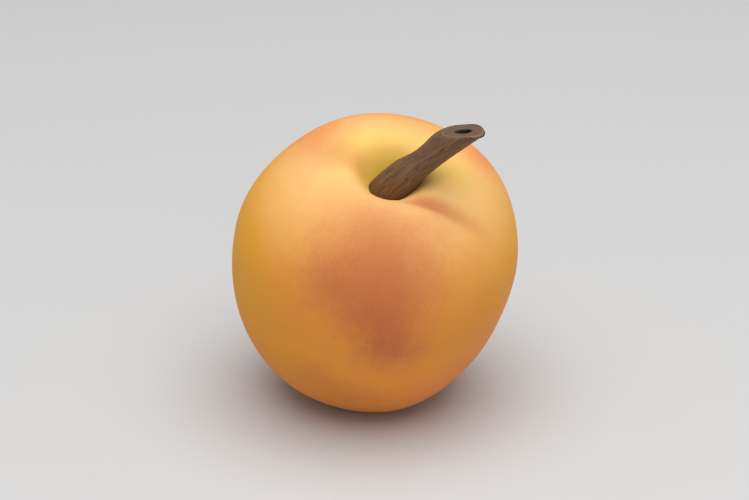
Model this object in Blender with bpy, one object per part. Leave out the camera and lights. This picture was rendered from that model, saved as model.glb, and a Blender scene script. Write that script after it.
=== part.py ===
"""A ripe peach with its thick brown stem, leaning a little on a small flat spot.

Metres, +Z up. The flat spot lies on Z = 0 with its centre at the origin, and
the stem end leans towards -Y.
"""

from math import cos, exp, pi, radians, sin, sqrt, tanh

import bmesh
import bpy
from mathutils import Matrix, Vector

# Fruit. Everything marked as a share is a share of this radius.
FRUIT_RADIUS = 0.035
SHOULDER_SHARE = 0.87
TIP_SHARE = 1.31
TIP_POWER = 2.24
NIPPLE_SHARE = 0.022
NIPPLE_WIDTH_SHARE = 0.07

# Cheeks that stand fuller or flatter than the round: turn, rise, amount, spread
FULL_CHEEK = (radians(105.0), radians(30.0), 0.042, 0.50)
FLAT_CHEEK = (radians(-142.0), radians(24.0), -0.052, 0.55)
LOW_CHEEK = (radians(58.0), radians(-14.0), 0.018, 0.55)

# Hollow the stem grows from
CAVITY_DEPTH_SHARE = 0.36
CAVITY_WIDTH_SHARE = 0.200
CAVITY_POWER = 2.2

# Suture: the crease that runs out of the cavity to both sides
SUTURE_TURN = radians(52.0)
SHORT_CREASE_SHARE = 0.045
SHORT_CREASE_WIDTH_SHARE = 0.070
SHORT_CREASE_SWERVE = 0.21
SHORT_CREASE_FROM, SHORT_CREASE_TO = 0.08, 0.95
LONG_CREASE_SHARE = 0.034
LONG_CREASE_WIDTH_SHARE = 0.13
LONG_CREASE_FROM, LONG_CREASE_TO = 0.10, 0.90
FAINT_CREASE_SHARE = 0.008
FAINT_CREASE_WIDTH_SHARE = 0.12

# Pose: how far the axis leans, and where the fruit's centre is above the flat spot
LEAN = radians(26.0)
LEAN_TOWARDS = radians(-71.0)
FRUIT_CENTRE = Vector((0.0020, -0.0056, 0.0428))

# Stem
STEM_RADIUS = 0.00415
STEM_TURN = radians(72.5)
STEM_FOOT_SHARE = Vector((-0.010, 0.567))
STEM_BEND_SHARE = Vector((0.175, 0.93))
STEM_END_SHARE = Vector((0.410, 1.265))
STEM_BASE_SHARE = 0.62
STEM_SWELL_SHARE = 1.06
STEM_WAIST_SHARE = 0.95
STEM_CUT_SHARE = 0.97
STEM_TIP_SHARE = 1.15
STEM_CUT_NORMAL = Vector((-0.24, 0.0, 0.97)).normalized()
STEM_RIM = 0.0007
PITH_SHARE = 0.24
PITH_DEPTH = 0.0012
STEM_CLEARANCE = 0.0005
STEM_STATIONS = 41

# Mesh detail
FRUIT_SIDES = 64
CAVITY_RINGS = 14
BODY_RINGS = 30
CAVITY_SPREAD = 0.50
STEM_SIDES = 24
STEM_RINGS = 16


def smooth_step(low, high, value):
    """Zero below low, one above high, with a soft rise between."""
    t = min(max((value - low) / (high - low), 0.0), 1.0)
    return t * t * (3.0 - 2.0 * t)


def bell(offset, width):
    return exp(-((offset / width) ** 2))


def crease_depth(x, y, height):
    """How deep the suture is cut, as a share, at a point of the unit fruit."""
    across = x * cos(SUTURE_TURN) + y * sin(SUTURE_TURN)
    along = -x * sin(SUTURE_TURN) + y * cos(SUTURE_TURN)
    upper = smooth_step(-0.25, 0.25, height)
    swerve = SHORT_CREASE_SWERVE * max(1.0 - across, 0.0)
    short = SHORT_CREASE_SHARE * bell(along + swerve, SHORT_CREASE_WIDTH_SHARE)
    short *= smooth_step(SHORT_CREASE_FROM, 0.30, across)
    short *= 1.0 - smooth_step(0.30, SHORT_CREASE_TO, across)
    long = LONG_CREASE_SHARE * bell(along, LONG_CREASE_WIDTH_SHARE)
    long *= smooth_step(LONG_CREASE_FROM, 0.35, -across)
    long *= 1.0 - smooth_step(0.35, LONG_CREASE_TO, -across)
    faint = FAINT_CREASE_SHARE * bell(along, FAINT_CREASE_WIDTH_SHARE)
    faint *= smooth_step(0.05, 0.5, across)
    return upper * (short + long) + faint


def cheek_swell(x, y, height):
    """How much fuller the fruit is towards this point of the unit fruit."""
    towards = Vector((x, y, height)).normalized()
    swell = 1.0
    for turn, rise, amount, spread in (FULL_CHEEK, FLAT_CHEEK, LOW_CHEEK):
        level = cos(rise)
        middle = Vector((level * cos(turn), level * sin(turn), sin(rise)))
        swell += amount * bell((towards - middle).length, spread)
    return swell


def fruit_point(polar, turn):
    """A point of the skin, from the angle off the axis and the turn about it."""
    ring, rise = sin(polar), cos(polar)
    if rise >= 0.0:
        radius, height = ring, SHOULDER_SHARE * rise
        hollow = exp(-((radius / CAVITY_WIDTH_SHARE) ** CAVITY_POWER))
        height -= CAVITY_DEPTH_SHARE * hollow
    else:
        power = TIP_POWER
        size = (ring**power + (-rise) ** power) ** (-1.0 / power)
        radius, height = ring * size, TIP_SHARE * rise * size
        height -= NIPPLE_SHARE * bell(radius, NIPPLE_WIDTH_SHARE)
    x, y = radius * cos(turn), radius * sin(turn)
    depth = crease_depth(x, y, height)
    inward = Vector((x, y, height / SHOULDER_SHARE**2)).normalized() * depth
    swell = cheek_swell(x, y, height)
    point = (Vector((x, y, height)) * swell - inward) * FRUIT_RADIUS
    return clear_of_stem(point) if height > 0.0 and radius < 0.6 else point


def clear_of_stem(point):
    """The skin pushed off the stem wherever the stem would press into it."""
    outward = Vector((cos(STEM_TURN), sin(STEM_TURN), 0.0))
    nearest, push = None, 0.0
    for k in range(STEM_STATIONS):
        t = k / (STEM_STATIONS - 1)
        place, _ = stem_path(t)
        centre = outward * place.x + Vector((0.0, 0.0, place.y))
        away = point - centre
        wanted = stem_radius(t) + STEM_CLEARANCE - away.length
        if wanted > push:
            nearest, push = away.normalized(), wanted
    return point + nearest * push if nearest else point


def to_world():
    """Fruit axes to the resting pose."""
    lean = Matrix.Rotation(LEAN, 4, "Y")
    turn = Matrix.Rotation(LEAN_TOWARDS, 4, "Z")
    return Matrix.Translation(FRUIT_CENTRE) @ turn @ lean


def ring_loft(mesh, rings, start, end):
    """Rings of points joined to each other and closed to a point at each end."""
    loops = [[mesh.verts.new(point) for point in ring] for ring in rings]
    first, last = mesh.verts.new(start), mesh.verts.new(end)
    sides = len(loops[0])
    for i in range(sides):
        j = (i + 1) % sides
        mesh.faces.new((first, loops[0][j], loops[0][i]))
        mesh.faces.new((last, loops[-1][i], loops[-1][j]))
        for low, high in zip(loops, loops[1:]):
            mesh.faces.new((low[i], low[j], high[j], high[i]))


def fruit_angles():
    """Angles off the axis: close together in the cavity, wider over the body."""
    near = [CAVITY_SPREAD * (k + 1) / CAVITY_RINGS for k in range(CAVITY_RINGS)]
    step = (pi - CAVITY_SPREAD) / (BODY_RINGS + 1)
    return near + [CAVITY_SPREAD + step * (k + 1) for k in range(BODY_RINGS)]


def fruit_mesh():
    mesh = bmesh.new()
    turns = [2.0 * pi * k / FRUIT_SIDES for k in range(FRUIT_SIDES)]
    rings = [[fruit_point(polar, turn) for turn in turns] for polar in fruit_angles()]
    ring_loft(mesh, rings, fruit_point(0.0, 0.0), fruit_point(pi, 0.0))
    mesh.transform(to_world())
    everything = mesh.verts[:] + mesh.edges[:] + mesh.faces[:]
    cut = bmesh.ops.bisect_plane(
        mesh,
        geom=everything,
        dist=1e-6,
        plane_co=(0.0, 0.0, 0.0),
        plane_no=(0.0, 0.0, 1.0),
        clear_inner=True,
    )
    rim = [item for item in cut["geom_cut"] if isinstance(item, bmesh.types.BMEdge)]
    bmesh.ops.edgeloop_fill(mesh, edges=rim)
    return mesh


def stem_path(t):
    """Centre of the stem and its direction, in the plane it bends in."""
    start, bend, end = STEM_FOOT_SHARE, STEM_BEND_SHARE, STEM_END_SHARE
    place = start * (1.0 - t) ** 2 + bend * 2.0 * t * (1.0 - t) + end * t**2
    along = (bend - start) * (1.0 - t) + (end - bend) * t
    return place * FRUIT_RADIUS, along.normalized()


def stem_radius(t):
    """Rounded foot, swollen just above it, a slight waist, wider at the cut."""
    foot = sqrt(1.0 - (1.0 - min(t / 0.14, 1.0)) ** 2)
    base = STEM_BASE_SHARE + (STEM_SWELL_SHARE - STEM_BASE_SHARE) * foot
    waist = (STEM_SWELL_SHARE - STEM_WAIST_SHARE) * smooth_step(0.15, 0.55, t)
    cut = (STEM_CUT_SHARE - STEM_WAIST_SHARE) * smooth_step(0.6, 0.95, t)
    return STEM_RADIUS * (base - waist + cut)


def stem_ring(t, radius, slant, sink, world):
    """One loop round the stem, turned by the slant into the plane of the cut.

    The cut rounds over towards the tip, which is blunt.
    """
    outward = Vector((cos(STEM_TURN), sin(STEM_TURN), 0.0))
    sideways = Vector((-sin(STEM_TURN), cos(STEM_TURN), 0.0))
    up = Vector((0.0, 0.0, 1.0))
    place, along = stem_path(t)
    centre = outward * place.x + up * place.y
    axis = outward * along.x + up * along.y
    across = outward * along.y - up * along.x
    normal = world.to_3x3().transposed() @ STEM_CUT_NORMAL
    reach = STEM_RADIUS * STEM_TIP_SHARE
    ring = []
    for k in range(STEM_SIDES):
        angle = 2.0 * pi * k / STEM_SIDES
        offset = (across * cos(angle) + sideways * sin(angle)) * radius
        slide = -offset.dot(normal) / axis.dot(normal)
        if slide > 0.0:
            slide = reach * tanh(slide / reach)
        ring.append(centre + offset + axis * slide * slant - normal * sink)
    return ring


def stem_mesh():
    mesh = bmesh.new()
    world = to_world()
    rings = []
    for k in range(STEM_RINGS):
        t = k / (STEM_RINGS - 1)
        t_here = t**1.25
        slant = smooth_step(0.45, 1.0, t_here)
        rings.append(stem_ring(t_here, stem_radius(t_here), slant, 0.0, world))
    face = stem_radius(1.0)
    rings[-1] = stem_ring(1.0, face, 1.0, STEM_RIM, world)
    rings.append(stem_ring(1.0, face - 0.4 * STEM_RIM, 1.0, 0.3 * STEM_RIM, world))
    rings.append(stem_ring(1.0, face - 1.4 * STEM_RIM, 1.0, 0.0, world))
    rings.append(stem_ring(1.0, face * 0.5, 1.0, 0.2 * STEM_RIM, world))
    rings.append(stem_ring(1.0, face * PITH_SHARE, 1.0, 0.5 * STEM_RIM, world))
    rings.append(stem_ring(1.0, face * PITH_SHARE * 0.6, 1.0, PITH_DEPTH, world))
    start = sum(rings[0], Vector()) / STEM_SIDES
    end = sum(rings[-1], Vector()) / STEM_SIDES
    ring_loft(mesh, rings, start, end)
    mesh.transform(world)
    return mesh


def material(name, colour, roughness):
    made = bpy.data.materials.new(name)
    made.use_nodes = True
    shader = made.node_tree.nodes["Principled BSDF"]
    shader.inputs["Base Color"].default_value = (*colour, 1.0)
    shader.inputs["Roughness"].default_value = roughness
    shader.inputs["Metallic"].default_value = 0.0
    return made


def add_node(name, mesh, surface):
    bmesh.ops.recalc_face_normals(mesh, faces=mesh.faces[:])
    data = bpy.data.meshes.new(name)
    mesh.to_mesh(data)
    mesh.free()
    for face in data.polygons:
        face.use_smooth = len(face.vertices) <= 4
    data.materials.append(surface)
    made = bpy.data.objects.new(name, data)
    bpy.context.scene.collection.objects.link(made)
    return made


def main():
    for item in list(bpy.data.objects):
        bpy.data.objects.remove(item)
    skin = material("peach_skin", (0.83, 0.42, 0.09), 0.62)
    bark = material("peach_stem", (0.13, 0.065, 0.035), 0.75)
    add_node("fruit", fruit_mesh(), skin)
    add_node("stem", stem_mesh(), bark)


main()
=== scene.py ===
"""Looks of a ripe peach with its stem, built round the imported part."""

from math import cos, pi, radians, sin

import bmesh
import bpy
from mathutils import Matrix, Vector


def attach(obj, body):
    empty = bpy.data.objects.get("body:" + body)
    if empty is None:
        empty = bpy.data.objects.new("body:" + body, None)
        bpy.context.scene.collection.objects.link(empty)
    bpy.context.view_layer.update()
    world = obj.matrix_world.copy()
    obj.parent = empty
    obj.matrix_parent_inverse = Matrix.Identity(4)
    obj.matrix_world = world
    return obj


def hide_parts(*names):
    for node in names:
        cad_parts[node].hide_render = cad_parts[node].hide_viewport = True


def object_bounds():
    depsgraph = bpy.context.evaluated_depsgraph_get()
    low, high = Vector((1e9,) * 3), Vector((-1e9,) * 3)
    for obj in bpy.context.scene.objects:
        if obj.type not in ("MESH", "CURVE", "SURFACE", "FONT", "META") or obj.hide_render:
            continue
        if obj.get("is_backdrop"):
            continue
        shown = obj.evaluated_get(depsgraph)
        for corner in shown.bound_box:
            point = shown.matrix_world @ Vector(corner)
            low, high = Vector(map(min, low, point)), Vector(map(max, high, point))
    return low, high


bl_info = {
    "name": "Ripe peach with stem",
    "version": (1, 0, 0),
    "blender": (4, 5, 0),
    "location": "3D View > Sidebar > Peach",
    "description": "Grows a velvety ripe peach with a cut brown stem on a plain stage",
    "category": "Add Mesh",
}

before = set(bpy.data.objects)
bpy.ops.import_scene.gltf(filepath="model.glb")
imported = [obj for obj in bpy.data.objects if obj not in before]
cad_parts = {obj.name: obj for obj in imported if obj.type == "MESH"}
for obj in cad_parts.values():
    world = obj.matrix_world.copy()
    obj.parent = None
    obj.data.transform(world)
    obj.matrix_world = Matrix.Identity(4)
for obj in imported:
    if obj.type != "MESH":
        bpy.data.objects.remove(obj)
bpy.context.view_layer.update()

# Pose of the fruit: lean of its axis, the way it leans, its centre over the flat spot
LEAN = radians(26.0)
LEAN_TOWARDS = radians(-71.0)
FRUIT_CENTRE = Vector((0.0020, -0.0056, 0.0428))
SUTURE_TURN = radians(52.0)
STEM_TURN = radians(72.5)

# Cheeks that stand fuller or flatter than the round: turn and rise in degrees, amount, spread
CHEEKS = (
    (105.0, 30.0, 0.042, 0.50),
    (-142.0, 24.0, -0.052, 0.55),
    (58.0, -14.0, 0.018, 0.55),
    (5.0, -42.0, 0.024, 0.30),
)
HOLLOW_POWER = 2.2
NIPPLE = 0.022
NIPPLE_SPREAD = 0.07
SCAR_SPREAD = 0.045
RING_CROWDING = 0.38
CREASE_SWERVE = 0.21
FAINT_CREASE = 0.008
FLAT_SPOT_BLEND = 0.0012

# Stem line in the plane it bends in, as shares of the fruit's radius
STEM_FOOT = (-0.010, 0.540)
STEM_BEND = (0.175, 0.930)
STEM_END = (0.410, 1.265)
STEM_CUT_NORMAL = Vector((-0.24, 0.0, 0.97)).normalized()
STEM_CUT_REACH = 1.15
STEM_FLARE = 0.07
STEM_BEVEL = 0.07
STEM_THIN_ABOVE = 0.34
STEM_THIN_BENEATH = 0.10

# Colour laid on the skin in turn, each a soft patch along the line between two directions:
# start and end as turn and rise in degrees, spread at each, strength, tint
FLUSHES = (
    # pale top, a wide painted shade over the front of the ripe side where the light falls off,
    # and a warm apricot wash below it
    ((-150, 72), (90, 66), (0.45, 0.45), 0.50, "hollow"),
    ((-46, 32), (24, 12), (0.85, 0.85), 0.62, "painted_front_shade"),
    ((-40, 10), (10, -20), (0.80, 0.80), 0.50, "apricot"),
    # rosy rims and underside
    ((-150, 45), (-165, 5), (0.42, 0.70), 0.62, "rose"),
    ((102, 38), (125, -10), (0.36, 0.75), 0.75, "rose"),
    ((62, -4), (15, -30), (0.48, 0.45), 0.62, "rose"),
    ((-60, -55), (60, -58), (0.62, 0.62), 0.60, "rose"),
    # blush of the rear cheek
    ((150, 15), (-170, -25), (1.05, 1.10), 0.80, "apricot"),
    ((150, 5), (-175, -28), (0.75, 0.85), 0.80, "blush"),
    # blush of the front cheek, with its small low companion
    ((-20, 46), (-10, 8), (0.70, 0.48), 0.76, "blush"),
    ((-44, 28), (-10, 4), (0.44, 0.28), 0.42, "blush"),
    ((-24, -30), (-38, -24), (0.34, 0.30), 0.42, "blush"),
    # darkest hearts of both
    ((-42, 28), (-10, 6), (0.36, 0.20), 0.34, "deep_blush"),
    ((-20, 34), (-16, 16), (0.44, 0.36), 0.35, "deep_blush"),
    ((160, 2), (-178, -20), (0.50, 0.60), 0.60, "deep_blush"),
)

# Stage
LIGHT_AIM = (0.0, 0.0, 0.04)
KEY_PLACE = (0.04, -0.20, 1.0)
KEY_SIZE = 1.3
FRONT_PLACE = (0.25, -0.95, 0.30)
FRONT_SIZE = 0.9
FLOOR_FLAT = 0.9
FLOOR_RADIUS = 2.4
FLOOR_RISE = 1.3
FLOOR_CURVE = 2.5
FLOOR_STEPS = 24
FLOOR_SIDES = 96


# ---------------------------------------------------------------- node formulas


class Formula:
    """A number in a node tree, so that a surface's rule reads as a formula."""

    def __init__(self, tree, socket):
        self.tree = tree
        self.socket = socket

    def maths(self, operation, *others):
        node = self.tree.nodes.new("ShaderNodeMath")
        node.operation = operation
        for slot, item in enumerate((self, *others)):
            if isinstance(item, Formula):
                self.tree.links.new(item.socket, node.inputs[slot])
            else:
                node.inputs[slot].default_value = item
        return Formula(self.tree, node.outputs[0])

    def __add__(self, other):
        return self.maths("ADD", other)

    def __sub__(self, other):
        return self.maths("SUBTRACT", other)

    def __rsub__(self, other):
        return (self * -1.0) + other

    def __mul__(self, other):
        return self.maths("MULTIPLY", other)

    def __truediv__(self, other):
        return self.maths("DIVIDE", other)

    def __rtruediv__(self, other):
        return (self**-1.0) * other

    def __neg__(self):
        return self * -1.0

    def __pow__(self, power):
        return self.maths("POWER", power)

    def root(self):
        return self.maths("SQRT")

    def at_least(self, other):
        return self.maths("MAXIMUM", other)

    def at_most(self, other):
        return self.maths("MINIMUM", other)

    def ramp(self, low, high, start=0.0, end=1.0):
        """From start to end with a soft rise while this goes from low to high."""
        node = self.tree.nodes.new("ShaderNodeMapRange")
        node.interpolation_type = "SMOOTHSTEP"
        self.tree.links.new(self.socket, node.inputs["Value"])
        values = {"From Min": low, "From Max": high, "To Min": start, "To Max": end}
        for name, value in values.items():
            if isinstance(value, Formula):
                self.tree.links.new(value.socket, node.inputs[name])
            else:
                node.inputs[name].default_value = value
        return Formula(self.tree, node.outputs["Result"])

    def bell(self, width):
        """One at zero, falling softly to nothing a few widths away."""
        scaled = self / width
        return (-(scaled * scaled)).maths("EXPONENT")


def choose(low, high, share):
    """Low where the share is zero, high where it is one."""
    return share * (high - low) + low


def length_of(parts):
    """Length of a vector given as three formulas."""
    x, y, z = parts
    return (x * x + y * y + z * z).root()


def direction(turn, rise):
    """The way from the fruit's middle at a turn and a rise in degrees."""
    turn, rise = radians(turn), radians(rise)
    return Vector((cos(rise) * cos(turn), cos(rise) * sin(turn), sin(rise)))


def split(tree, vector_socket):
    """The three parts of a vector, as formulas."""
    node = tree.nodes.new("ShaderNodeSeparateXYZ")
    tree.links.new(vector_socket, node.inputs[0])
    return [Formula(tree, socket) for socket in node.outputs]


def joined(tree, *parts):
    """A vector socket from three formulas or numbers."""
    node = tree.nodes.new("ShaderNodeCombineXYZ")
    for slot, item in enumerate(parts):
        if isinstance(item, Formula):
            tree.links.new(item.socket, node.inputs[slot])
        else:
            node.inputs[slot].default_value = item
    return node.outputs[0]


def noise(tree, place, scale, detail=2.0, roughness=0.5, distortion=0.0):
    """Noise between zero and one at a place."""
    node = tree.nodes.new("ShaderNodeTexNoise")
    tree.links.new(place, node.inputs["Vector"])
    node.inputs["Scale"].default_value = scale
    node.inputs["Detail"].default_value = detail
    node.inputs["Roughness"].default_value = roughness
    node.inputs["Distortion"].default_value = distortion
    return Formula(tree, node.outputs[0])


def fruit_to_world():
    """From the fruit's own axes to its resting pose."""
    lean = Matrix.Rotation(LEAN, 4, "Y")
    turn = Matrix.Rotation(LEAN_TOWARDS, 4, "Z")
    return Matrix.Translation(FRUIT_CENTRE) @ turn @ lean


def placed_in_world(tree, x, y, z):
    """Fruit axes to the resting pose, as three formulas."""
    matrix = fruit_to_world()
    return [
        x * matrix[row][0] + y * matrix[row][1] + z * matrix[row][2] + matrix[row][3]
        for row in range(3)
    ]


# ------------------------------------------------------------- geometry trees


class ShapeTree:
    """A geometry node tree with named number inputs."""

    def __init__(self, name, inputs):
        self.tree = bpy.data.node_groups.new(name, "GeometryNodeTree")
        self.names = {}
        for label, value, kind in inputs:
            socket = self.tree.interface.new_socket(
                name=label, in_out="INPUT", socket_type=kind
            )
            socket.default_value = value
            self.names[label] = socket.identifier
        self.tree.interface.new_socket(
            name="Geometry", in_out="OUTPUT", socket_type="NodeSocketGeometry"
        )
        self.entry = self.tree.nodes.new("NodeGroupInput")
        self.outlet = self.tree.nodes.new("NodeGroupOutput")

    def __getitem__(self, label):
        return Formula(self.tree, self.entry.outputs[label])

    def node(self, kind, **settings):
        made = self.tree.nodes.new(kind)
        for key, value in settings.items():
            setattr(made, key, value)
        return made

    def link(self, start, end):
        self.tree.links.new(start, end)

    def keep(self, geometry, label, value, kind="FLOAT"):
        """A named value kept on every point, for the materials."""
        node = self.node("GeometryNodeStoreNamedAttribute", data_type=kind)
        node.inputs["Name"].default_value = label
        self.link(geometry, node.inputs["Geometry"])
        socket = value.socket if isinstance(value, Formula) else value
        self.link(socket, node.inputs["Value"])
        return node.outputs["Geometry"]

    def close(self, geometry, material):
        smooth = self.node("GeometryNodeSetShadeSmooth")
        self.link(geometry, smooth.inputs["Geometry"])
        real = self.node("GeometryNodeRealizeInstances")
        self.link(smooth.outputs["Geometry"], real.inputs["Geometry"])
        finish = self.node("GeometryNodeSetMaterial")
        finish.inputs["Material"].default_value = material
        self.link(real.outputs["Geometry"], finish.inputs["Geometry"])
        self.link(finish.outputs["Geometry"], self.outlet.inputs["Geometry"])


def grown(name, shape, values):
    """Runs a shape tree with these input values and leaves a plain mesh."""
    holder = bpy.data.objects.new(name + "_holder", bpy.data.meshes.new(name))
    bpy.context.scene.collection.objects.link(holder)
    modifier = holder.modifiers.new("shape", "NODES")
    modifier.node_group = shape.tree
    for label, value in values.items():
        modifier[shape.names[label]] = value
    holder.update_tag()
    graph = bpy.context.evaluated_depsgraph_get()
    mesh = bpy.data.meshes.new_from_object(
        holder.evaluated_get(graph), preserve_all_data_layers=True, depsgraph=graph
    )
    mesh.name = name
    bpy.data.objects.remove(holder)
    if not mesh.polygons:
        raise RuntimeError(name + " has no faces")
    made = bpy.data.objects.new(name, mesh)
    bpy.context.scene.collection.objects.link(made)
    return made


def fruit_shape(material):
    """The skin: a round body with a stem hollow, a suture and a pressed flat spot."""
    inputs = [
        ("Radius", 0.035, "NodeSocketFloat"),
        ("Shoulder", 0.87, "NodeSocketFloat"),
        ("Tip", 1.31, "NodeSocketFloat"),
        ("Tip power", 2.24, "NodeSocketFloat"),
        ("Hollow depth", 0.36, "NodeSocketFloat"),
        ("Hollow width", 0.20, "NodeSocketFloat"),
        ("Short crease", 0.056, "NodeSocketFloat"),
        ("Long crease", 0.050, "NodeSocketFloat"),
        ("Unevenness", 0.004, "NodeSocketFloat"),
        ("Detail", 121, "NodeSocketInt"),
    ]
    shape = ShapeTree("Peach fruit", inputs)
    tree = shape.tree
    ball = shape.node("GeometryNodeMeshCube")
    ball.inputs["Size"].default_value = (2.0, 2.0, 2.0)
    for side in ("Vertices X", "Vertices Y", "Vertices Z"):
        shape.link(shape["Detail"].socket, ball.inputs[side])
    place = shape.node("GeometryNodeInputPosition").outputs[0]
    bent = [part * (pi / 4.0) for part in split(tree, place)]
    bent = [part.maths("TANGENT") for part in bent]
    across = bent[0] * bent[0] + bent[1] * bent[1]
    flat_length = across.root()
    polar = flat_length.maths("ARCTAN2", bent[2])
    share = polar / pi
    polar = (share * (1.0 - RING_CROWDING) + share * share * RING_CROWDING) * pi
    ring, rise = polar.maths("SINE"), polar.maths("COSINE")
    turn_x, turn_y = bent[0] / flat_length, bent[1] / flat_length

    top = rise.at_least(0.0)
    hollow = ((ring / shape["Hollow width"]) ** HOLLOW_POWER * -1.0).maths("EXPONENT")
    hollow = hollow * rise.ramp(0.0, 0.2)
    under = (-rise).at_least(0.0)
    power = shape["Tip power"]
    size = (ring**power + under**power) ** (-1.0 / power)
    below = under.maths("GREATER_THAN", 0.0)
    radius = choose(ring, ring * size, below)
    nipple = radius.bell(NIPPLE_SPREAD) * below * NIPPLE
    height = shape["Shoulder"] * top - shape["Tip"] * under * size
    height = height - shape["Hollow depth"] * hollow - nipple
    x, y = radius * turn_x, radius * turn_y

    length = length_of((x, y, height))
    swell = 1.0
    for turn, lift, amount, spread in CHEEKS:
        towards = direction(turn, lift)
        gaps = [part / length - aim for part, aim in zip((x, y, height), towards)]
        swell = length_of(gaps).bell(spread) * amount + swell

    far = x * cos(SUTURE_TURN) + y * sin(SUTURE_TURN)
    aside = y * cos(SUTURE_TURN) - x * sin(SUTURE_TURN)
    upper = height.ramp(-0.25, 0.25)
    swerve = (1.0 - far).at_least(0.0) * CREASE_SWERVE
    short = (aside + swerve).bell(0.060) * far.ramp(0.08, 0.30)
    short = short * far.ramp(0.30, 0.95, 1.0, 0.0)
    back = -far
    long = (aside / (back.at_least(0.0) * 0.20 + 0.05)).bell(1.0)
    long = long * back.ramp(0.0, 0.20) * back.ramp(0.30, 0.90, 1.0, 0.0)
    faint = aside.bell(0.12) * far.ramp(0.05, 0.5) * FAINT_CREASE
    crease = upper * (short * shape["Short crease"] + long * shape["Long crease"]) + faint
    lift = height / 0.757
    steep = length_of((x, y, lift))
    wander = noise(tree, joined(tree, x, y, height), 1.7, detail=3.0) - 0.5
    inward = crease - wander * shape["Unevenness"]

    real = [
        (part * swell - side / steep * inward) * shape["Radius"]
        for part, side in zip((x, y, height), (x, y, lift))
    ]
    world = placed_in_world(tree, *real)
    world[2] = world[2].maths("SMOOTH_MAX", 0.0, FLAT_SPOT_BLEND)

    first = ball.outputs["Mesh"]
    unit = joined(tree, x, y, height)
    geometry = shape.keep(first, "fruit_place", unit, "FLOAT_VECTOR")
    # Crease share for the skin, where blush is laid as the suture's colour and as painted groove
    # shade
    geometry = shape.keep(geometry, "crease", (short + long * 0.6) * upper)
    geometry = shape.keep(geometry, "hollow", hollow)
    geometry = shape.keep(geometry, "scar", radius.bell(SCAR_SPREAD) * below)
    move = shape.node("GeometryNodeSetPosition")
    shape.link(geometry, move.inputs["Geometry"])
    shape.link(joined(tree, *world), move.inputs["Position"])
    shape.close(move.outputs["Geometry"], material)
    return shape


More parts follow.
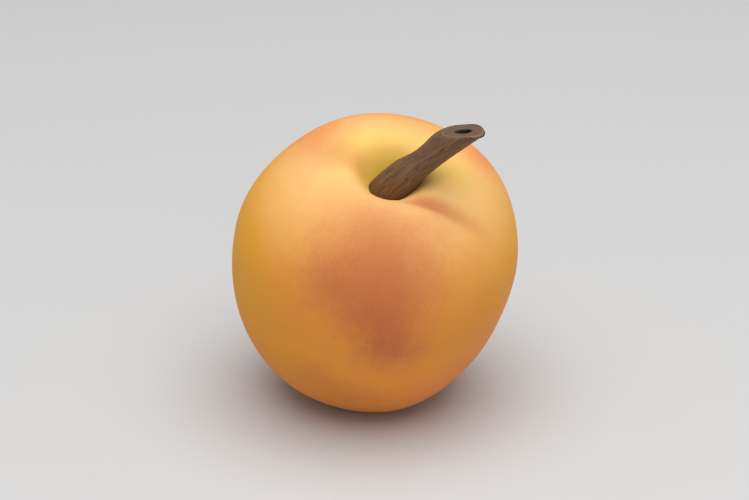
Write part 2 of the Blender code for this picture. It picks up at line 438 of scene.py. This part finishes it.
def stem_shape(material):
    """The stem: a tube along its line with ridged bark, cut on a slant."""
    inputs = [
        ("Radius", 0.00415, "NodeSocketFloat"),
        ("Fruit radius", 0.035, "NodeSocketFloat"),
        ("Swell", 1.08, "NodeSocketFloat"),
        ("Waist", 0.93, "NodeSocketFloat"),
        ("Ridges", 0.07, "NodeSocketFloat"),
        ("Rim", 0.0006, "NodeSocketFloat"),
        ("Pith", 0.30, "NodeSocketFloat"),
        ("Pith depth", 0.0030, "NodeSocketFloat"),
        ("Sides", 120, "NodeSocketInt"),
        ("Rings", 140, "NodeSocketInt"),
    ]
    shape = ShapeTree("Peach stem", inputs)
    tree = shape.tree
    tube = shape.node("GeometryNodeMeshCylinder", fill_type="TRIANGLE_FAN")
    shape.link(shape["Sides"].socket, tube.inputs["Vertices"])
    shape.link(shape["Rings"].socket, tube.inputs["Side Segments"])
    tube.inputs["Fill Segments"].default_value = 30
    tube.inputs["Radius"].default_value = 1.0
    tube.inputs["Depth"].default_value = 1.0
    place = shape.node("GeometryNodeInputPosition").outputs[0]
    px, py, pz = split(tree, place)
    share = (px * px + py * py).root()
    turn_x, turn_y = px / share, py / share
    t = (pz + 0.5).at_least(0.0).at_most(1.0)
    inside = (1.0 - share).maths("GREATER_THAN", 0.001)
    end_face = (pz + 0.5).maths("GREATER_THAN", 0.9999) * inside

    rest = 1.0 - t
    sides = []
    slopes = []
    for foot, bend, end in zip(STEM_FOOT, STEM_BEND, STEM_END):
        sides.append(rest * rest * foot + rest * t * (2.0 * bend) + t * t * end)
        slopes.append(rest * (bend - foot) + t * (end - bend))
    steep = (slopes[0] * slopes[0] + slopes[1] * slopes[1]).root()
    lean, climb = slopes[0] / steep, slopes[1] / steep

    streaks = joined(tree, turn_x * 2.6, turn_y * 2.6, t * 1.9)
    ridges = noise(tree, streaks, 1.9, detail=5.0, roughness=0.62, distortion=0.25) - 0.5
    lumps = noise(tree, joined(tree, turn_x, turn_y, t * 3.4), 0.9, detail=1.0) - 0.5
    waist = t.ramp(0.12, 0.52, shape["Swell"], shape["Waist"])
    flare = t.ramp(0.60, 0.92) * STEM_FLARE
    bevel = t.ramp(0.965, 1.0) * STEM_BEVEL
    above = (-turn_x).at_least(0.0)
    beneath = turn_x.at_least(0.0)
    thinned = above * t.ramp(0.30, 0.55) * STEM_THIN_ABOVE
    thinned = thinned + beneath * t.ramp(0.15, 0.45) * STEM_THIN_BENEATH
    girth = waist + flare - bevel - thinned + (ridges + lumps * 0.9) * shape["Ridges"]
    girth = girth * shape["Radius"] * share

    matrix = fruit_to_world()
    normal = matrix.to_3x3().transposed() @ STEM_CUT_NORMAL
    out = Vector((cos(STEM_TURN), sin(STEM_TURN), 0.0))
    aside = Vector((-sin(STEM_TURN), cos(STEM_TURN), 0.0))
    along = [lean * out[0], lean * out[1], climb]
    across = [climb * out[0], climb * out[1], -lean]
    offset = [
        (across[axis] * turn_x + turn_y * aside[axis]) * girth for axis in range(3)
    ]
    towards = offset[0] * normal[0] + offset[1] * normal[1] + offset[2] * normal[2]
    facing = along[0] * normal[0] + along[1] * normal[1] + along[2] * normal[2]
    reach = shape["Radius"] * STEM_CUT_REACH
    slide = -(towards / facing)
    rounded = (slide.at_least(0.0) / reach).maths("TANH") * reach + slide.at_most(0.0)
    rounded = rounded * t.ramp(0.45, 1.0)
    rim = (share**9.0) * shape["Rim"]
    pith = share.ramp(shape["Pith"] * 0.45, shape["Pith"] * 1.15, 1.0, 0.0)
    pith = pith * shape["Pith depth"]
    dish = noise(tree, joined(tree, px, py, 0.3), 2.3, detail=3.0) * 0.0005
    sink = (rim + pith + dish * share.ramp(0.5, 1.0, 1.0, 0.0)) * t.ramp(0.9998, 1.0)
    centre = [sides[0] * out[0], sides[0] * out[1], sides[1]]
    real = [
        centre[axis] * shape["Fruit radius"]
        + offset[axis]
        + along[axis] * rounded
        - sink * normal[axis]
        for axis in range(3)
    ]
    world = placed_in_world(tree, *real)
    geometry = shape.keep(tube.outputs["Mesh"], "end_face", end_face)
    geometry = shape.keep(geometry, "face_share", share)
    geometry = shape.keep(geometry, "along", t)
    geometry = shape.keep(geometry, "streaks", streaks, "FLOAT_VECTOR")
    # Underside share, kept for the painted shade under the stem
    geometry = shape.keep(geometry, "beneath", beneath)
    move = shape.node("GeometryNodeSetPosition")
    shape.link(geometry, move.inputs["Geometry"])
    shape.link(joined(tree, *world), move.inputs["Position"])
    shape.close(move.outputs["Geometry"], material)
    return shape


# ------------------------------------------------------------------ materials


class Surface:
    """A material's node tree with its main shader."""

    def __init__(self, name):
        self.material = bpy.data.materials.new(name)
        self.material.use_nodes = True
        self.tree = self.material.node_tree
        self.shader = self.tree.nodes["Principled BSDF"]

    def kept(self, label):
        node = self.tree.nodes.new("ShaderNodeAttribute")
        node.attribute_name = label
        return node

    def number(self, label):
        return Formula(self.tree, self.kept(label).outputs["Fac"])

    def object_place(self):
        return self.tree.nodes.new("ShaderNodeTexCoord").outputs["Object"]

    def paint(self, below, colour, share):
        """A colour laid over another where the share is above zero."""
        node = self.tree.nodes.new("ShaderNodeMix")
        node.data_type = "RGBA"
        node.clamp_factor = True
        self.tree.links.new(share.socket, node.inputs["Factor"])
        for slot, item in ((6, below), (7, colour)):
            if isinstance(item, bpy.types.NodeSocket):
                self.tree.links.new(item, node.inputs[slot])
            else:
                node.inputs[slot].default_value = (*item[:3], 1.0)
        return node.outputs[2]

    def bump(self, height, distance, strength=1.0, under=None):
        node = self.tree.nodes.new("ShaderNodeBump")
        node.inputs["Distance"].default_value = distance
        node.inputs["Strength"].default_value = strength
        self.tree.links.new(height.socket, node.inputs["Height"])
        if under is not None:
            self.tree.links.new(under, node.inputs["Normal"])
        return node.outputs["Normal"]


def flush(parts, start, end, spreads, warp):
    """A soft-edged patch along the line between two directions, with a spread at each."""
    start, end = direction(*start), direction(*end)
    run = end - start
    gaps = [part - aim for part, aim in zip(parts, start)]
    share = sum((gap * step for gap, step in zip(gaps[1:], run[1:])), gaps[0] * run[0])
    share = (share / run.length_squared).at_least(0.0).at_most(1.0)
    gaps = [gap - share * step for gap, step in zip(gaps, run)]
    apart = length_of(gaps)
    spread = choose(spreads[0], spreads[1], share)
    return (apart + warp).ramp(0.0, spread, 1.0, 0.0)


def skin_material(settings):
    """Velvety skin: ground colours by height with a painted highlight on top, then the flushes
    with a painted shade over the front, the crease with painted groove shade, hollow and scar.
    """
    surface = Surface("peach_skin")
    tree = surface.tree
    place = surface.kept("fruit_place").outputs["Vector"]
    x, y, z = split(tree, place)
    length = length_of((x, y, z))
    parts = [x / length, y / length, z / length]
    cloud = noise(tree, place, 1.6, detail=3.0, roughness=0.6) - 0.5
    mottle = noise(tree, place, 7.5, detail=4.0, roughness=0.6) - 0.5
    grain = noise(tree, place, 55.0, detail=3.0, roughness=0.7) - 0.5
    warp = cloud * 0.24 + mottle * 0.16 + grain * 0.17

    # Ground colour by height: yellow towards the stem end, orange on the sides, russet towards
    # the tip; the golden top is made paler as painted highlight
    sides = (z + warp * 0.5).ramp(0.20, 0.85, 1.0, 0.0)
    colour = surface.paint(settings.golden, settings.amber, sides)
    under = (z + warp * 0.6).ramp(-0.95, 0.15, 1.0, 0.0)
    colour = surface.paint(colour, settings.russet, under * 0.8)
    for start, end, spreads, strength, shade in FLUSHES:
        here = flush(parts, start, end, spreads, warp)
        colour = surface.paint(colour, getattr(settings, shade), here * strength)
    # Blush along the crease: partly the suture's own redder colour, partly painted shade in the
    # groove
    crease = surface.number("crease")
    colour = surface.paint(colour, settings.blush, crease * 0.75)
    hollow = surface.number("hollow")
    colour = surface.paint(colour, settings.hollow, hollow.ramp(0.05, 0.8) * 0.9)
    colour = surface.paint(colour, settings.scar, surface.number("scar") * 0.85)
    tree.links.new(colour, surface.shader.inputs["Base Color"])

    down = noise(tree, place, 420.0, detail=2.0, roughness=0.6)
    pores = noise(tree, place, 95.0, detail=3.0, roughness=0.6)
    normal = surface.bump(pores, 0.00010, 0.5)
    normal = surface.bump(down, 0.00004, 0.5, normal)
    tree.links.new(normal, surface.shader.inputs["Normal"])
    surface.shader.inputs["Roughness"].default_value = 0.66
    surface.shader.inputs["Specular IOR Level"].default_value = 0.12
    surface.shader.inputs["Sheen Weight"].default_value = settings.velvet
    surface.shader.inputs["Sheen Roughness"].default_value = 0.45
    surface.shader.inputs["Sheen Tint"].default_value = (1.0, 0.62, 0.32, 1.0)
    surface.shader.inputs["Subsurface Weight"].default_value = 0.12
    surface.shader.inputs["Subsurface Radius"].default_value = (1.0, 0.45, 0.2)
    surface.shader.inputs["Subsurface Scale"].default_value = 0.002
    return surface.material


def bark_material(settings):
    """Ridged bark, with the cut end's wood, rim and pith hole, and painted shade at the foot,
    under the stem and in the pith hole.
    """
    surface = Surface("peach_stem")
    tree = surface.tree
    streaks = surface.kept("streaks").outputs["Vector"]
    along = surface.number("along")
    fibre = noise(tree, streaks, 5.5, detail=6.0, roughness=0.65, distortion=0.4)
    blotch = noise(tree, streaks, 1.6, detail=3.0)
    colour = surface.paint(settings.bark, settings.dark_bark_and_shade, fibre.ramp(0.40, 0.66))
    colour = surface.paint(colour, settings.grey_bark, blotch.ramp(0.45, 0.72) * 0.6)
    # Painted shade at the foot, darker towards where it sits down in the hollow
    colour = surface.paint(colour, settings.dark_bark_and_shade, along.ramp(0.0, 0.22, 0.6, 0.0))
    # Painted shade: the underside of the stem darkened
    beneath = surface.number("beneath")
    colour = surface.paint(colour, settings.dark_bark_and_shade, beneath.ramp(0.2, 1.0) * 0.7)
    share = surface.number("face_share")
    end_face = surface.number("end_face")
    rings = noise(tree, surface.object_place(), 900.0, detail=3.0)
    face = surface.paint(settings.cut_wood, settings.bark, rings.ramp(0.35, 0.75) * 0.7)
    # Near-black painted shade filling the pith hole, over its lit wall too
    face = surface.paint(face, settings.pith, share.ramp(0.30, 0.42, 1.0, 0.0))
    face = surface.paint(face, settings.rim, share.ramp(0.80, 0.93) * 0.55)
    colour = surface.paint(colour, face, end_face)
    tree.links.new(colour, surface.shader.inputs["Base Color"])
    normal = surface.bump(fibre, 0.00035, 0.7)
    tree.links.new(normal, surface.shader.inputs["Normal"])
    surface.shader.inputs["Roughness"].default_value = 0.62
    surface.shader.inputs["Specular IOR Level"].default_value = 0.35
    return surface.material


# ------------------------------------------------------------------- settings


def tint(name, description, default):
    """A colour setting."""
    return bpy.props.FloatVectorProperty(
        name=name,
        description=description,
        default=default,
        subtype="COLOR",
        size=3,
        min=0.0,
        max=1.0,
    )


class PeachFruitSettings(bpy.types.PropertyGroup):
    radius: bpy.props.FloatProperty(
        name="Radius",
        description="Half the fruit's width",
        default=0.035,
        unit="LENGTH",
    )
    shoulder: bpy.props.FloatProperty(
        name="Shoulder",
        description="Height of the stem end above the widest part, as a share of the radius",
        default=0.87,
    )
    tip: bpy.props.FloatProperty(
        name="Tip",
        description="Depth of the blossom end below the widest part, as a share of the radius",
        default=1.31,
    )
    hollow_depth: bpy.props.FloatProperty(
        name="Hollow depth",
        description="Depth of the stem hollow, as a share of the radius",
        default=0.36,
    )
    hollow_width: bpy.props.FloatProperty(
        name="Hollow width",
        description="Spread of the stem hollow, as a share of the radius",
        default=0.20,
    )
    short_crease: bpy.props.FloatProperty(
        name="Short crease",
        description="Depth of the sharper crease, as a share of the radius",
        default=0.056,
    )
    long_crease: bpy.props.FloatProperty(
        name="Long crease",
        description="Depth of the softer crease on the other side, as a share of the radius",
        default=0.050,
    )
    velvet: bpy.props.FloatProperty(
        name="Velvet",
        description="Strength of the downy sheen",
        default=0.13,
        min=0.0,
        max=1.0,
    )
    # Golden, amber and russet run from the stem end to the tip; golden is made paler to stand as
    # painted highlight on top
    golden: tint("Golden", "Ground colour of the stem end", (0.92, 0.54, 0.21))
    amber: tint("Amber", "Ground colour of the sides", (0.83, 0.37, 0.030))
    russet: tint("Russet", "Ground colour towards the tip", (0.78, 0.25, 0.020))
    # Painted front shade: darkens the front of the fruit where the light falls off towards it
    painted_front_shade: tint("Dusk", "Wide shade round the red side", (0.68, 0.26, 0.055))
    apricot: tint("Apricot", "Warm flush round the blush", (0.82, 0.28, 0.060))
    blush: tint("Blush", "Red side of the fruit", (0.57, 0.165, 0.062))
    deep_blush: tint("Deep blush", "Darkest part of the red side", (0.47, 0.115, 0.045))
    # Rose is laid on the far left and far right cheeks, low on the front right and across the
    # underside
    rose: tint("Rose", "Pink flush on the far cheeks", (0.84, 0.25, 0.085))
    scar: tint("Scar", "Dry point of the blossom end", (0.13, 0.055, 0.022))
    hollow: tint("Hollow", "Yellow of the stem hollow", (0.86, 0.60, 0.09))


class PeachStemSettings(bpy.types.PropertyGroup):
    radius: bpy.props.FloatProperty(
        name="Radius",
        description="Half the stem's thickness",
        default=0.00415,
        unit="LENGTH",
    )
    swell: bpy.props.FloatProperty(
        name="Swell",
        description="Thickness at the foot, as a share",
        default=1.08,
    )
    waist: bpy.props.FloatProperty(
        name="Waist",
        description="Thickness at the middle, as a share",
        default=0.93,
    )
    ridges: bpy.props.FloatProperty(
        name="Ridges",
        description="Height of the bark's ridges, as a share of the radius",
        default=0.07,
    )
    bark: tint("Bark", "Main brown of the bark", (0.205, 0.105, 0.050))
    # Dark bark: the real furrows, and painted shade at the foot and along the underside
    dark_bark_and_shade: tint("Dark bark", "Furrows and foot of the bark", (0.085, 0.038, 0.018))
    grey_bark: tint("Grey bark", "Weathered patches", (0.225, 0.135, 0.090))
    cut_wood: tint("Cut wood", "Wood of the cut end", (0.135, 0.080, 0.050))
    rim: tint("Rim", "Pale edge of the cut", (0.300, 0.220, 0.170))
    # Pith: near-black painted shade in the hole at the middle of the cut
    pith: tint("Pith", "Dark middle of the cut", (0.012, 0.006, 0.004))


class PeachStageSettings(bpy.types.PropertyGroup):
    elevation: bpy.props.FloatProperty(
        name="Camera elevation",
        description="Angle of the camera above the floor",
        default=radians(25.0),
        subtype="ANGLE",
    )
    distance: bpy.props.FloatProperty(
        name="Camera distance",
        description="From the fruit's middle to the camera",
        default=0.62,
        unit="LENGTH",
    )
    lens: bpy.props.FloatProperty(
        name="Lens",
        description="Focal length in millimetres",
        default=120.0,
    )
    floor: tint("Floor", "Colour of the floor", (0.60, 0.60, 0.60))
    key: bpy.props.FloatProperty(
        name="Key light",
        description="Power of the large overhead light in watts",
        default=12.0,
        subtype="POWER",
    )
    front: bpy.props.FloatProperty(
        name="Front light",
        description="Power of the soft light beside the camera in watts",
        default=1.5,
        subtype="POWER",
    )
    fill: bpy.props.FloatProperty(
        name="Fill light",
        description="Brightness of the light from all round",
        default=0.36,
    )


# ------------------------------------------------------------------ operators


class PEACH_OT_grow_fruit(bpy.types.Operator):
    """Grow the fruit with its skin"""

    bl_idname = "peach.grow_fruit"
    bl_label = "Grow the fruit"

    def execute(self, context):
        settings = context.scene.peach_fruit
        material = skin_material(settings)
        values = {
            "Radius": settings.radius,
            "Shoulder": settings.shoulder,
            "Tip": settings.tip,
            "Hollow depth": settings.hollow_depth,
            "Hollow width": settings.hollow_width,
            "Short crease": settings.short_crease,
            "Long crease": settings.long_crease,
        }
        fruit = grown("peach_body", fruit_shape(material), values)
        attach(fruit, "root")
        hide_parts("fruit")
        return {"FINISHED"}


class PEACH_OT_grow_stem(bpy.types.Operator):
    """Grow the cut stem with its bark"""

    bl_idname = "peach.grow_stem"
    bl_label = "Grow the stem"

    def execute(self, context):
        settings = context.scene.peach_stem
        material = bark_material(settings)
        values = {
            "Radius": settings.radius,
            "Fruit radius": context.scene.peach_fruit.radius,
            "Swell": settings.swell,
            "Waist": settings.waist,
            "Ridges": settings.ridges,
        }
        stem = grown("peach_stalk", stem_shape(material), values)
        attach(stem, "root")
        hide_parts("stem")
        return {"FINISHED"}


def floor_bowl(material):
    """A wide round floor that sweeps up far away, with no line between the two."""
    mesh = bmesh.new()
    middle = mesh.verts.new((0.0, 0.0, 0.0))
    loops = []
    for step in range(FLOOR_STEPS + 1):
        share = step / FLOOR_STEPS
        reach = FLOOR_FLAT + (FLOOR_RADIUS - FLOOR_FLAT) * share
        lift = FLOOR_RISE * share**FLOOR_CURVE
        turns = [2 * pi * k / FLOOR_SIDES for k in range(FLOOR_SIDES)]
        loops.append([mesh.verts.new((reach * cos(t), reach * sin(t), lift)) for t in turns])
    for k in range(FLOOR_SIDES):
        after = (k + 1) % FLOOR_SIDES
        mesh.faces.new((middle, loops[0][k], loops[0][after]))
        for inner, outer in zip(loops, loops[1:]):
            mesh.faces.new((inner[k], outer[k], outer[after], inner[after]))
    data = bpy.data.meshes.new("studio_floor")
    mesh.to_mesh(data)
    mesh.free()
    for face in data.polygons:
        face.use_smooth = True
    data.materials.append(material)
    made = bpy.data.objects.new("studio_floor", data)
    bpy.context.scene.collection.objects.link(made)
    return made


def area_light(name, place, size, power):
    """A soft white disc that faces the fruit."""
    data = bpy.data.lights.new(name, "AREA")
    data.shape = "DISK"
    data.size = size
    data.energy = power
    made = bpy.data.objects.new(name, data)
    made.location = place
    made.rotation_euler = (Vector(LIGHT_AIM) - Vector(place)).to_track_quat("-Z", "Y").to_euler()
    bpy.context.scene.collection.objects.link(made)
    return made


class PEACH_OT_set_stage(bpy.types.Operator):
    """Lay the floor, set the lights and place the camera"""

    bl_idname = "peach.set_stage"
    bl_label = "Set the stage"

    def execute(self, context):
        settings = context.scene.peach_stage
        ground = Surface("studio_floor")
        ground.shader.inputs["Base Color"].default_value = (*settings.floor, 1.0)
        ground.shader.inputs["Roughness"].default_value = 0.9
        ground.shader.inputs["Specular IOR Level"].default_value = 0.1
        floor_bowl(ground.material)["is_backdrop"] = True

        world = bpy.data.worlds.new("studio")
        world.use_nodes = True
        sky = world.node_tree.nodes["Background"]
        sky.inputs["Color"].default_value = (1.0, 1.0, 1.0, 1.0)
        sky.inputs["Strength"].default_value = settings.fill
        context.scene.world = world
        context.scene.view_settings.view_transform = "Standard"
        area_light("key_light", KEY_PLACE, KEY_SIZE, settings.key)
        area_light("front_light", FRONT_PLACE, FRONT_SIZE, settings.front)

        low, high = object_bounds()
        aim = (low + high) / 2
        back = Vector((0.0, -cos(settings.elevation), sin(settings.elevation)))
        data = bpy.data.cameras.new("camera")
        data.lens = settings.lens
        camera = bpy.data.objects.new("camera", data)
        camera.location = aim + back * settings.distance
        camera.rotation_euler = back.to_track_quat("Z", "Y").to_euler()
        context.scene.collection.objects.link(camera)
        context.scene.camera = camera
        return {"FINISHED"}


class VIEW3D_PT_peach(bpy.types.Panel):
    """Settings and steps for the peach"""

    bl_idname = "VIEW3D_PT_peach"
    bl_label = "Peach"
    bl_space_type = "VIEW_3D"
    bl_region_type = "UI"
    bl_category = "Peach"

    def draw(self, context):
        scene = context.scene
        groups = (
            (scene.peach_fruit, PEACH_OT_grow_fruit),
            (scene.peach_stem, PEACH_OT_grow_stem),
            (scene.peach_stage, PEACH_OT_set_stage),
        )
        for settings, operator in groups:
            box = self.layout.box()
            for name in settings.__annotations__:
                box.prop(settings, name)
            box.operator(operator.bl_idname)


CLASSES = (
    PeachFruitSettings,
    PeachStemSettings,
    PeachStageSettings,
    PEACH_OT_grow_fruit,
    PEACH_OT_grow_stem,
    PEACH_OT_set_stage,
    VIEW3D_PT_peach,
)


def register():
    for item in CLASSES:
        bpy.utils.register_class(item)
    scene = bpy.types.Scene
    scene.peach_fruit = bpy.props.PointerProperty(type=PeachFruitSettings)
    scene.peach_stem = bpy.props.PointerProperty(type=PeachStemSettings)
    scene.peach_stage = bpy.props.PointerProperty(type=PeachStageSettings)


def unregister():
    del bpy.types.Scene.peach_stage
    del bpy.types.Scene.peach_stem
    del bpy.types.Scene.peach_fruit
    for item in reversed(CLASSES):
        bpy.utils.unregister_class(item)


def main():
    register()
    bpy.ops.peach.grow_fruit()
    bpy.ops.peach.grow_stem()
    bpy.ops.peach.set_stage()


if __name__ == "__main__":
    main()
